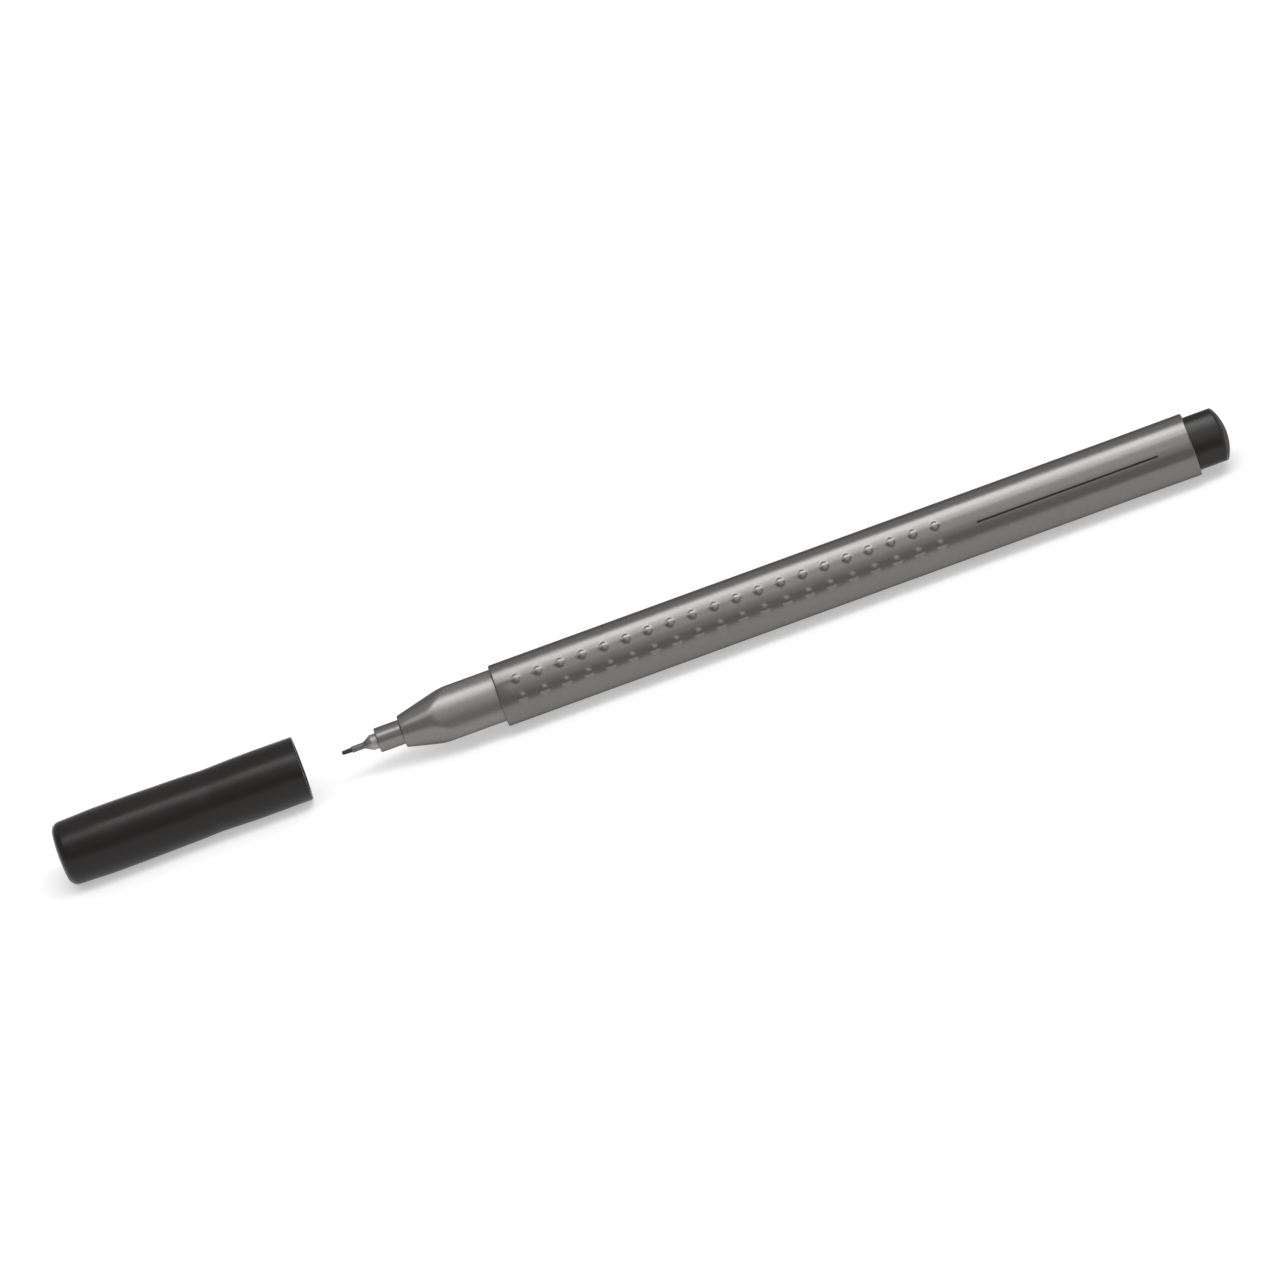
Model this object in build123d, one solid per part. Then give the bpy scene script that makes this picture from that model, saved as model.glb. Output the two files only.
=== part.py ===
from build123d import *
import math
import os

# A fineliner pen lying on one side, with its cap pulled off and lying in line in front of the point.
# X runs along the pen with its rear towards +X, Z is up, and the origin is on the table under the middle.
# All sizes are in millimetres.

# Shared outline of barrel, spigots and the cap's bore: a triangle with bulging sides and rounded corners
sides = 3
barrel_width = 9.65
corner_radius = 2.25
side_bulge = 0.7

# Barrel
barrel_length = 110.5
barrel_wall = 1.0
barrel_flare = 0.07
flare_length = 10.5
rim_bevel = 0.2

# Grip dots, in two rows on each side of the barrel
dot_facets = 6
dot_diameter = 1.54
dot_top_diameter = 0.9
dot_height = 0.14
dot_flat_width = 1.9
dot_pitch = 3.51
dot_row_spacing = 3.0
dot_margin = 3.4
plain_length = 40.0

# Front section: spigot, cone and nozzle outside the barrel, shank inside it
spigot_step = 0.75
section_length = 15.45
nose_diameter = 4.95
cone_half_angle = 13.9
nose_bevel = 0.2
nozzle_diameter = 3.83
nozzle_length = 3.9
shank_length = 8.0

# Nib: drawn metal sleeve round a fibre core
collar_diameter = 2.4
collar_shown = 0.9
collar_seat = 3.0
sleeve_cone_length = 1.2
tube_diameter = 1.0
tube_length = 1.95
sleeve_wall = 0.11
tip_length = 1.7
point_diameter = 0.46
wick_diameter = 1.5
wick_reach = 10.0

# Ink reservoir and its film
film_thickness = 0.15

# Rear plug
plug_length = 5.75
plug_step = 0.66
plug_dome_radius = 8.0
plug_shank_length = 7.0
plug_wall = 0.9

# Cap shell, round outside and proud of the barrel by its overhang
cap_overhang = 0.355
cap_end_wall = 1.3
cap_end_rounding = 1.75
cap_headroom = 10.3
cap_vent_diameter = 1.6
cap_parked_gap = 6.2

# Places along the cap from mouth to end, and how wide it is there
cap_station_shares = (0, 0.26, 0.37, 0.48, 0.72, 0.85, 1)
cap_girth_shares = (0.97, 0.97, 0.954, 0.97, 1, 1, 0.963)

# Inner seal of the cap
seal_wall = 0.7
seal_flange = 1.2
seal_ledge = 0.4
seal_notch_diameter = 1.8
seal_nose_gap = 0.3
nib_room = 0.4
tip_room = 1.5

# Clearances: pressed or glued seats, loose inner pieces, and the cap on its spigot
fit_gap = 0.03
loose_gap = 0.2
cap_clearance = 0.1
cut_overrun = 1.0

# Values worked out from the sizes above
half_chord = barrel_width / 2 - corner_radius
corner_turn = 360 / sides
corner_offset = half_chord / math.sin(math.radians(corner_turn / 2))
side_reach = corner_offset * math.cos(math.radians(corner_turn / 2)) + corner_radius + side_bulge
side_radius = corner_radius + side_bulge / 2 + half_chord**2 / (2 * side_bulge)

cap_diameter = barrel_width + 2 * cap_overhang
dot_row_angle = math.degrees(math.asin(dot_row_spacing / 2 / side_radius))
axis_height = max(side_reach + dot_height, cap_diameter / 2)

nose_radius = nose_diameter / 2
cone_base_radius = nose_radius + section_length * math.tan(math.radians(cone_half_angle))
nozzle_radius = nozzle_diameter / 2
collar_radius = collar_diameter / 2
tube_radius = tube_diameter / 2
point_radius = point_diameter / 2
core_radius = tube_radius - sleeve_wall - fit_gap
wick_radius = wick_diameter / 2
film_radius = side_reach - barrel_wall - fit_gap
reservoir_radius = film_radius - film_thickness - fit_gap
seal_bore_radius = nozzle_radius + fit_gap
seal_radius = seal_bore_radius + seal_wall
shank_growth = -barrel_wall - fit_gap
cap_bore_growth = cap_clearance - spigot_step

nib_length = collar_shown + sleeve_cone_length + tube_length + tip_length
seal_length = nozzle_length + nib_length + tip_room + seal_wall - seal_nose_gap
cap_length = section_length + seal_nose_gap + seal_length + cap_headroom + cap_end_wall
overall_length = (
    cap_length + cap_parked_gap + nib_length + nozzle_length + section_length + barrel_length + plug_length
)

# Stations along X, from the cap's closed end to the rear of the pen
cap_end = -overall_length / 2
cap_mouth = cap_end + cap_length
seal_mouth = cap_mouth - section_length - seal_nose_gap
seal_end = seal_mouth - seal_length
tip_at = cap_mouth + cap_parked_gap
tube_mouth = tip_at + tip_length
tube_root = tube_mouth + tube_length
collar_front = tube_root + sleeve_cone_length
nozzle_front = collar_front + collar_shown
collar_rear = nozzle_front + collar_seat
nose_at = nozzle_front + nozzle_length
barrel_front = nose_at + section_length
shank_rear = barrel_front + shank_length
barrel_rear = barrel_front + barrel_length
plug_front = barrel_rear - plug_shank_length
rear_end = barrel_rear + plug_length
reservoir_front = shank_rear + loose_gap
reservoir_rear = plug_front - loose_gap
wick_rear = reservoir_front + wick_reach

pen_axis = Axis((0, 0, axis_height), (1, 0, 0))


def across(station):
    """Plane square to the pen at a station, with its own x along Y and its own y along Z."""
    return Plane(origin=(station, 0, axis_height), x_dir=(0, 1, 0), z_dir=(1, 0, 0))


def soft_triangle(growth, station):
    """Shared outline at a station, grown outwards by growth, with one side down and one corner up."""
    corners = [
        (corner_offset * math.cos(math.radians(angle)), corner_offset * math.sin(math.radians(angle)))
        for angle in (corner_turn * corner + 90 for corner in range(sides))
    ]
    bulging_sides = [
        SagittaArc(corners[corner - 1], corners[corner], -side_bulge) for corner in range(sides)
    ]
    core = make_face(Curve() + bulging_sides)
    return across(station) * offset(core, amount=corner_radius + growth, kind=Kind.ARC)


def prism(growth, start, end):
    """Straight piece with the shared outline from one station to another."""
    return extrude(soft_triangle(growth, start), amount=end - start)


def turned(*points):
    """Solid turned about the pen's axis from (station, radius) corners of its half profile."""
    half_plane = Plane(origin=(0, 0, axis_height), x_dir=(1, 0, 0), z_dir=(0, -1, 0))
    return revolve(half_plane * make_face(Polyline(*points, close=True)), axis=pen_axis)


def rod(radius, start, end):
    """Round rod on the pen's axis."""
    return turned((start, 0), (start, radius), (end, radius), (end, 0))


def edges_at(solid, station):
    """Edges of a solid that lie in the plane across the pen at a station."""
    return solid.edges().filter_by_position(Axis.X, station, station)


def on_dot_rows(x, shape):
    """Copies of a shape at station x on each row of dots, its own origin on the side and its z outwards."""
    copies = []
    for side in range(sides):
        to_side = Pos(0, 0, axis_height) * Rot(corner_turn * side + 180, 0, 0)
        for row_angle in (-dot_row_angle, dot_row_angle):
            to_row = to_side * Pos(0, 0, side_reach - side_radius) * Rot(row_angle, 0, 0)
            copies.append(to_row * Pos(x, 0, side_radius) * shape)
    return copies


def make_barrel():
    """Tube with a slight flare at the rear, bevelled rims and grip dots on narrow flats."""
    flare_start = barrel_rear - flare_length
    body = prism(0, barrel_front, flare_start)
    body += loft([soft_triangle(0, flare_start), soft_triangle(barrel_flare, barrel_rear)])
    body = chamfer(edges_at(body, barrel_front) + edges_at(body, barrel_rear), rim_bevel)

    first_dot = barrel_front + dot_margin
    dot_count = int((barrel_length - dot_margin - plain_length) / dot_pitch) + 1
    flat_depth = side_radius - math.sqrt(side_radius**2 - (dot_flat_width / 2) ** 2)
    flat_length = (dot_count - 1) * dot_pitch + 2 * dot_flat_width
    flat = Pos(0, 0, -flat_depth) * Box(
        flat_length, barrel_width, cut_overrun, align=(Align.CENTER, Align.CENTER, Align.MIN)
    )
    body -= on_dot_rows(first_dot + (dot_count - 1) * dot_pitch / 2, flat)

    slope = (dot_diameter - dot_top_diameter) / (2 * dot_height)
    foot = RegularPolygon(dot_diameter / 2 + slope * flat_depth, dot_facets, major_radius=False)
    dot = extrude(foot, amount=dot_height + flat_depth, taper=math.degrees(math.atan(slope)))
    dot = Pos(0, 0, -flat_depth) * dot
    for place in range(dot_count):
        body += on_dot_rows(first_dot + place * dot_pitch, dot)
    return body - prism(-barrel_wall, barrel_front - cut_overrun, barrel_rear + cut_overrun)


def make_front_section():
    """Spigot trimmed by a cone, with a nozzle in front, a shank behind and bores for the nib."""
    body = prism(-spigot_step, nose_at, barrel_front)
    body &= turned(
        (nose_at, 0), (nose_at, nose_radius), (barrel_front, cone_base_radius), (barrel_front, 0)
    )
    body = chamfer(edges_at(body, nose_at), nose_bevel)
    nozzle = rod(nozzle_radius, nozzle_front, barrel_front)
    body += chamfer(edges_at(nozzle, nozzle_front), nose_bevel)
    body += prism(shank_growth, barrel_front, shank_rear)
    body -= rod(collar_radius + fit_gap, nozzle_front - cut_overrun, collar_rear)
    return body - rod(wick_radius + fit_gap, nozzle_front, shank_rear + cut_overrun)


def make_nib_sleeve():
    """Thin-walled collar, cone and tube."""
    outer = ((tube_mouth, tube_radius), (tube_root, tube_radius), (collar_front, collar_radius))
    inner = [(station, radius - sleeve_wall) for station, radius in reversed(outer)]
    rear = ((collar_rear, collar_radius), (collar_rear, collar_radius - sleeve_wall))
    return turned(*outer, *rear, *inner)


def make_nib_core():
    """Writing tip with a rounded point, and the thicker wick that reaches back into the reservoir."""
    swell_start = collar_front + sleeve_wall
    swell_end = swell_start + sleeve_cone_length
    tip = turned(
        (tip_at, 0),
        (tip_at, point_radius),
        (tube_mouth, core_radius),
        (swell_start, core_radius),
        (swell_end, wick_radius),
        (wick_rear, wick_radius),
        (wick_rear, 0),
    )
    return chamfer(edges_at(tip, tip_at), point_radius / 2)


def make_ink_reservoir():
    """Fibre rod with a blind socket for the wick."""
    body = rod(reservoir_radius, reservoir_front, reservoir_rear)
    return body - rod(wick_radius + fit_gap, reservoir_front - cut_overrun, wick_rear + loose_gap)


def make_reservoir_film():
    """Thin tube round the fibre rod."""
    body = rod(film_radius, reservoir_front, reservoir_rear)
    bore = rod(reservoir_radius + fit_gap, reservoir_front - cut_overrun, reservoir_rear + cut_overrun)
    return body - bore


def make_rear_plug():
    """Domed spigot that a cap could be pushed on, with a hollow shank in the barrel."""
    body = prism(-plug_step, barrel_rear, rear_end)
    body &= Pos(rear_end - plug_dome_radius, 0, axis_height) * Sphere(plug_dome_radius)
    body += prism(shank_growth, plug_front, barrel_rear)
    return body - prism(shank_growth - plug_wall, plug_front - cut_overrun, barrel_rear)


def make_cap_shell():
    """Waisted cap, round outside, with a ledged bore in the shared outline and a vent in its end."""
    outside = [
        (cap_mouth - cap_length * station, cap_diameter / 2 * girth)
        for station, girth in zip(cap_station_shares, cap_girth_shares)
    ]
    body = turned((cap_mouth, 0), *outside, (cap_end, 0))
    body = fillet(edges_at(body, cap_end), cap_end_rounding)
    body = chamfer(edges_at(body, cap_mouth), rim_bevel)
    ledge = seal_mouth - seal_flange
    body -= prism(cap_bore_growth, ledge, cap_mouth + cut_overrun)
    body -= prism(cap_bore_growth - seal_ledge, cap_end + cap_end_wall, ledge)
    return body - rod(cap_vent_diameter / 2, cap_end - cut_overrun, cap_end + cap_end_wall + cut_overrun)


def make_cap_inner_seal():
    """Cup that closes over the nozzle, on a flange that seats on the cap's ledge with air notches."""
    flange = prism(cap_bore_growth - fit_gap, seal_mouth - seal_flange, seal_mouth)
    for corner in range(sides):
        notch = Pos(0, corner_offset + corner_radius + cap_bore_growth) * Circle(seal_notch_diameter / 2)
        face = across(seal_mouth - seal_flange - cut_overrun) * Rot(0, 0, corner_turn * corner) * notch
        flange -= extrude(face, amount=seal_flange + 2 * cut_overrun)
    body = flange + rod(seal_radius, seal_end, seal_mouth)
    step = seal_mouth - nozzle_length
    body -= rod(seal_bore_radius, step, seal_mouth + cut_overrun)
    return body - rod(collar_radius + nib_room, seal_end + seal_wall, step + cut_overrun)


pieces = {
    "barrel": make_barrel,
    "front_section": make_front_section,
    "nib_sleeve": make_nib_sleeve,
    "nib_core": make_nib_core,
    "ink_reservoir": make_ink_reservoir,
    "reservoir_film": make_reservoir_film,
    "rear_plug": make_rear_plug,
    "cap_shell": make_cap_shell,
    "cap_inner_seal": make_cap_inner_seal,
}

os.makedirs("parts", exist_ok=True)
for name, make in pieces.items():
    export_step(make(), f"parts/{name}.step")
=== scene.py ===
import math

import bpy
import numpy as np
from bpy.props import FloatProperty, FloatVectorProperty, IntProperty, PointerProperty
from bpy.types import Operator, Panel, PropertyGroup
from mathutils import Matrix, Vector


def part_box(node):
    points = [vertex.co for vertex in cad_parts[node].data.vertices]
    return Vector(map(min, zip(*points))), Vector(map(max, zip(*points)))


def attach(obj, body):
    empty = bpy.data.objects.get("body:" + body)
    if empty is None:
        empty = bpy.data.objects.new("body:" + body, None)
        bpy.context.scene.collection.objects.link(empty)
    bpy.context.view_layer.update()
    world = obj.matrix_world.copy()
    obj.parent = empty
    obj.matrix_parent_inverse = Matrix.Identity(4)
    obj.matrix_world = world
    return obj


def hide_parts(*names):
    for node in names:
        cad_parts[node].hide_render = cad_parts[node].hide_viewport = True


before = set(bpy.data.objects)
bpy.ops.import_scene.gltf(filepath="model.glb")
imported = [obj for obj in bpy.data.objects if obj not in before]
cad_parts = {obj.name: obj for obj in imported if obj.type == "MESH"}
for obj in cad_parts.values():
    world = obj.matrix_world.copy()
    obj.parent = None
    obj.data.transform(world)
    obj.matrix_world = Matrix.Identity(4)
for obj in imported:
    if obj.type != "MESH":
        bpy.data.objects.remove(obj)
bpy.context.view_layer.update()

bl_info = {
    "name": "Fineliner Pen",
    "version": (1, 0, 0),
    "blender": (4, 5, 0),
    "location": "View3D > Sidebar > Fineliner",
    "description": "Dresses the packed fineliner and its cap with surfaces, finishes and a stage",
    "category": "Add Mesh",
}

MM = 0.001
SIDES = 3
TURN = 2 * math.pi / SIDES
FIRST_SIDE = math.radians(30)
OPEN = 0.05  # a turned radius or a growth so large that it trims nothing
SHARP = math.radians(38)  # edges that turn by more than this are shaded sharp
SAME_POINT, NEAR = 1e-9, 1e-6  # distances that count as none and as next to none
NOISE_LOW, NOISE_HIGH = 0.3, 0.7  # most values of a noise lie between these
DOT_ZONE, DOT_STEPS = 1.06, 16  # finely laid square round a dot, in radii of the dot
DOT_GAPS = np.array([0.37, 0.5, 0.63])  # rows between two dots, in pitches
FLOOR_RINGS, FLOOR_STEPS = np.array([0.15, 0.4, 1.0, 2.5, 6.0]), 64
# Distances from the cap's mouth, and the cap's radius at each, in millimetres
CAP_KNOTS = 0, 10, 12.6, 14.55, 16.35, 18.15, 21.75, 25.35, 28.95, 32.55, 34.65, 37.05, 38.9
CAP_RADII = (4.992, 4.992, 4.92, 4.873, 4.94, 4.985, 5.038, 5.105, 5.139, 5.125, 5.05, 4.977, 4.92)


def reach(node):
    """Front and rear station of a CAD node along the pen."""
    low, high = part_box(node)
    return float(low[0]), float(high[0])


BARREL_FRONT, BARREL_REAR = reach("barrel")
NOZZLE_FRONT, SHANK_REAR = reach("front_section")
TUBE_MOUTH, COLLAR_REAR = reach("nib_sleeve")
TIP, WICK_REAR = reach("nib_core")
PLUG_FRONT, REAR_END = reach("rear_plug")
CAP_END, CAP_MOUTH = reach("cap_shell")
SEAL_MOUTH = reach("cap_inner_seal")[1]
AXIS_HEIGHT = float(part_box("ink_reservoir")[0][2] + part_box("ink_reservoir")[1][2]) / 2


# Properties


def length(name, description, millimetres):
    """A size in metres, given here in millimetres."""
    return FloatProperty(
        name=name, description=description, default=millimetres * MM, precision=5, unit="LENGTH"
    )


def colour(name, description, *rgb):
    """A linear colour."""
    return FloatVectorProperty(
        name=name, description=description, default=rgb, min=0, max=1, subtype="COLOR"
    )


def angle(name, description, degrees):
    """An angle, given here in degrees."""
    return FloatProperty(
        name=name, description=description, default=math.radians(degrees), subtype="ANGLE"
    )


def strength(name, description, default):
    """A strength of light, where 1 is white."""
    return FloatProperty(name=name, description=description, default=default, min=0, soft_max=10)


def group(name, description, kind):
    """A group of settings."""
    return PointerProperty(name=name, description=description, type=kind)


class FinelinerOutline(PropertyGroup):
    """Soft triangle shared by barrel, spigots and the cap's bore."""

    width: length("Width", "Across two corners of the barrel", 9.65)
    corner_radius: length("Corner radius", "Rounding of the three corners", 2.25)
    side_bulge: length("Side bulge", "Rise of a side above its chord", 0.7)


class FinelinerBarrel(PropertyGroup):
    """Barrel and its grip dots."""

    wall: length("Wall", "Thickness of the moulded tube", 1.0)
    front_rounding: length("Front rounding", "Rounding of the rim beside the front section", 0.27)
    rear_rounding: length("Rear rounding", "Rounding of the rim beside the end plug", 0.2)
    flare: length("Flare", "Growth of the outline at the rear rim", 0.06)
    flare_length: length("Flare length", "Length over which the rear flares", 10.5)
    dot_diameter: length("Dot diameter", "Across the foot of a grip dot", 1.54)
    dot_height: length("Dot height", "Rise of a grip dot above its side", 0.14)
    dot_foot: length("Dot foot", "Softness of the foot of a grip dot", 0.012)
    dot_pitch: length("Dot pitch", "From one grip dot to the next along the barrel", 3.51)
    dot_row_spacing: length("Row spacing", "Between the two rows on a side", 3.0)
    dot_margin: length("Dot margin", "From the front rim to the first grip dot", 3.4)
    dot_count: IntProperty(name="Dots", description="Grip dots in each row", default=20, min=1)
    rule_start: length("Rule start", "Station of the front end of the printed rule", 53.2)
    rule_end: length("Rule end", "Station of the rear end of the printed rule", 82.0)
    rule_drop: length("Rule drop", "How far the rule lies below the middle of its side", 0.14)
    rule_width: length("Rule width", "Width of the printed rule", 0.3)


class FinelinerSection(PropertyGroup):
    """Front section that holds the nib."""

    turn: angle("Turn", "How far the section sits turned against the barrel", -7.5)
    step: length("Step", "How far the spigot stands inside the barrel's outline", 0.75)
    shank_step: length("Shank step", "How far the shank stands inside the barrel's outline", 1.03)
    nose_diameter: length("Nose diameter", "Front end of the cone", 4.95)
    nose_rounding: length("Nose rounding", "Rounding of the cone's front edge", 0.3)
    cone_half_angle: angle("Cone half angle", "Slope of the cone against the axis", 13.9)
    crease_softness: length("Crease softness", "Depth over which cone and sides blend", 0.16)
    nozzle_diameter: length("Nozzle diameter", "Round nozzle in front of the cone", 3.83)
    nozzle_length: length("Nozzle length", "From the cone to the front of the nozzle", 3.9)
    nozzle_rounding: length("Nozzle rounding", "Rounding of the nozzle's front edge", 0.22)
    collar_bore: length("Collar bore", "Hole that the nib's sleeve is pressed into", 2.46)
    wick_bore: length("Wick bore", "Hole that the wick passes through", 1.56)


class FinelinerNib(PropertyGroup):
    """Metal sleeve and fibre tip."""

    collar_diameter: length("Collar diameter", "Widest part of the sleeve", 2.4)
    collar_shown: length("Collar shown", "Length of the collar in front of the nozzle", 0.9)
    cone_length: length("Cone length", "From the collar to the thin tube", 1.2)
    tube_diameter: length("Tube diameter", "Thin tube round the writing tip", 1.0)
    sleeve_wall: length("Sleeve wall", "Thickness of the drawn metal", 0.11)
    core_diameter: length("Core diameter", "Fibre core inside the tube", 0.74)
    point_diameter: length("Point diameter", "Front end of the fibre tip", 0.6)
    point_worn: length("Point worn", "How far the point is worn down", 0.15)
    wick_diameter: length("Wick diameter", "Thicker wick behind the tip", 1.5)


class FinelinerPlug(PropertyGroup):
    """Domed plug in the rear end."""

    step: length("Step", "How far the plug stands inside the barrel's outline", 0.66)
    shank_step: length("Shank step", "How far the shank stands inside the barrel's outline", 1.03)
    wall: length("Wall", "Thickness of the plug's hollow shank", 0.9)
    dome_radius: length("Dome radius", "Ball that the rear end is part of", 8.0)
    edge_softness: length("Edge softness", "Depth over which dome and sides blend", 0.3)


class FinelinerCap(PropertyGroup):
    """Pulled-off cap."""

    end_wall: length("End wall", "Thickness of the closed end", 1.3)
    end_rounding: length("End rounding", "Rounding of the closed end's edge", 1.5)
    end_crown: length("End crown", "Ball that the closed end's face is part of", 25.0)
    rim_rounding: length("Rim rounding", "Rounding of the mouth's edges", 0.22)
    bore_step: length("Bore step", "How far the bore stands inside the barrel's outline", 0.65)
    ledge: length("Ledge", "Step in the bore that the inner seal sits on", 0.4)
    seal_flange: length("Seal flange", "Thickness of the seal's flange on the ledge", 1.2)
    vent_diameter: length("Vent diameter", "Air hole in the closed end", 1.6)


class FinelinerFinishes(PropertyGroup):
    """Colours of the finishes."""

    silver: colour("Silver", "Metallic plastic of barrel and section", 0.1745, 0.169, 0.1655)
    black: colour("Black", "Satin plastic of cap and end plug", 0.0085, 0.0067, 0.006)
    seal: colour("Seal", "Softer plastic of the inner seal", 0.05, 0.05, 0.05)
    metal: colour("Metal", "Drawn metal of the nib's sleeve", 0.33, 0.325, 0.32)
    # The sleeve's thin tube takes a darker tone of the same metal
    tube: colour("Tube", "Darker-toned metal of the sleeve's thin tube", 0.15, 0.147, 0.145)
    ink: colour("Ink", "Black ink in print and fibre", 0.012, 0.012, 0.014)
    film: colour("Film", "Clear wrap of the reservoir", 0.75, 0.77, 0.78)
    floor: colour("Floor", "Table top", 0.76, 0.76, 0.758)


class FinelinerStage(PropertyGroup):
    """Camera, floor and light."""

    elevation: angle("Elevation", "Height of the camera above the horizon", 27.9)
    tilt: angle("Tilt", "Rise of the pen to the right in the picture", 20.0)
    frame_width: length("Frame width", "Width of the picture at the pen", 192.6)
    drop: length("Drop", "How far the axis lies below the middle of the picture", 0.316)
    lens: FloatProperty(
        name="Lens", description="Focal length of the camera in millimetres", default=300, min=1
    )
    softbox_distance: length("Softbox distance", "From the pen to the softbox", 1000)
    softbox_top: angle("Softbox top", "Elevation of its upper edge", 85.6)
    softbox_low: angle("Softbox edge", "Elevation of its lower edge", 71.5)
    softbox_front: length("Softbox front", "Station of its front edge", -180)
    softbox_rear: length("Softbox rear", "Station of its rear edge", 600)
    softbox_light: strength("Softbox light", "Radiance of the softbox", 2.55)
    spill_distance: length("Spill distance", "From the pen to the spill round the softbox", 3000)
    spill_low: angle("Spill edge", "Elevation of its lower edge", 59.5)
    spill_front: length("Spill front", "Station of its front edge", -1950)
    spill_rear: length("Spill rear", "Station of its rear edge", 3300)
    spill_light: strength("Spill light", "Radiance of the spill", 1.45)
    back_low: angle("Back edge", "Far edge of the dim light behind the softbox", 130.0)
    back_light: strength("Back light", "Radiance of the dim light behind the softbox", 0.22)
    panel_distance: length("Panel distance", "From the pen to the front panel", 550)
    panel_low: angle("Panel edge", "Elevation of its lower edge", 23.5)
    panel_rise: angle("Panel rise", "Elevation above which the front panel is brighter", 36.5)
    panel_front: length("Panel front", "Station of its front edge", -60)
    panel_rear: length("Panel rear", "Station of its rear edge", 270)
    panel_light: strength("Panel light", "Radiance of the front panel's lower part", 0.42)
    panel_more: strength("Panel more", "Radiance that the panel's upper part adds", 0.5)
    room_light: strength("Room light", "Radiance of the even light from all round", 0.43)
    floor_glow: strength("Floor glow", "White that the floor adds where it is seen", 0.4)


class FinelinerSettings(PropertyGroup):
    """All settings of the fineliner."""

    outline: group("Outline", "Shared outline", FinelinerOutline)
    barrel: group("Barrel", "Barrel and dots", FinelinerBarrel)
    section: group("Section", "Front section", FinelinerSection)
    nib: group("Nib", "Sleeve and tip", FinelinerNib)
    plug: group("Plug", "Rear plug", FinelinerPlug)
    cap: group("Cap", "Cap shell", FinelinerCap)
    finishes: group("Finishes", "Colours", FinelinerFinishes)
    stage: group("Stage", "Camera and light", FinelinerStage)


# Shapes


def outline_measures(outline):
    """Distance of a corner's centre from the axis, radius of a side's arc, reach of a side from the
    axis, and half the angle that a side's arc spans."""
    corner, bulge = outline.corner_radius, outline.side_bulge
    half_chord = outline.width / 2 - corner
    corner_offset = half_chord / math.sin(TURN / 2)
    arc_radius = corner + bulge / 2 + half_chord**2 / (2 * bulge)
    side_reach = corner_offset * math.cos(TURN / 2) + corner + bulge
    half_side = math.asin(half_chord / (arc_radius - corner))
    return corner_offset, arc_radius, side_reach, half_side


def from_side_middle(angles):
    """Angle of each normal from the middle normal of the nearest side."""
    return (angles - FIRST_SIDE + TURN / 2) % TURN - TURN / 2


def soft_triangle(outline, angles, growth):
    """Offsets (y, z) from the axis on the shared outline, by the angle of the outward normal.

    On a side the point is the centre of the side's arc plus the arc's radius along the normal, and
    on a corner the corner's centre plus the corner's radius along the normal. Growth moves it
    further along the normal.
    """
    corner_offset, arc_radius, side_reach, half_side = outline_measures(outline)
    turned = from_side_middle(angles)
    on_side = np.abs(turned) <= half_side
    middle = angles - turned
    centre_angle = np.where(on_side, middle, middle + np.sign(turned) * TURN / 2)
    centre_offset = np.where(on_side, side_reach - arc_radius, corner_offset)
    radius = np.where(on_side, arc_radius, outline.corner_radius) + growth
    y = centre_offset * np.cos(centre_angle) + radius * np.cos(angles)
    z = centre_offset * np.sin(centre_angle) + radius * np.sin(angles)
    return y, z


def outline_angles(outline, side_angles, corner_steps):
    """Normal angles once round the outline: the given angles on each side, and even steps on each
    corner."""
    half_side = outline_measures(outline)[3]
    corner = np.linspace(half_side, TURN - half_side, corner_steps + 1)[:-1]
    third = np.concatenate([side_angles, corner])
    return (FIRST_SIDE + TURN * np.arange(SIDES)[:, None] + third).ravel()


def even_angles(outline, side_steps, corner_steps):
    """Normal angles once round the outline, in even steps on sides and corners."""
    half_side = outline_measures(outline)[3]
    side = np.linspace(-half_side, half_side, side_steps + 1)[:-1]
    return outline_angles(outline, side, corner_steps)


def rounded(corners, radii, steps=7):
    """A closed profile through corner points, each rounded by a circular arc.

    The arc is the rational quadratic curve from a tangent length before the corner to one after it,
    with the corner weighted by the cosine of half the turn. That length is the radius times the
    tangent of half the turn, at most half the way to the next corner. Equal points are kept once.
    """
    corners, radii = np.asarray(corners, float), np.asarray(radii, float)
    before = np.roll(corners, 1, axis=0) - corners
    after = np.roll(corners, -1, axis=0) - corners
    before_length = np.linalg.norm(before, axis=1)
    after_length = np.linalg.norm(after, axis=1)
    before /= before_length[:, None]
    after /= after_length[:, None]
    half_turn = np.arccos(np.clip(-np.sum(before * after, axis=1), -1, 1)) / 2
    room = np.minimum(before_length, after_length) / 2
    tangent = np.minimum(radii * np.tan(half_turn), room)[:, None]
    start, end = corners + before * tangent, corners + after * tangent
    t = np.linspace(0, 1, steps)[None, :, None]
    first, last = (1 - t) ** 2, t**2
    corner = 2 * np.cos(half_turn)[:, None, None] * t * (1 - t)
    across = first * start[:, None] + corner * corners[:, None] + last * end[:, None]
    points = (across / (first + corner + last)).reshape(-1, corners.shape[1])
    apart = np.linalg.norm(points - np.roll(points, 1, axis=0), axis=1) > SAME_POINT
    return points[apart]


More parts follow.
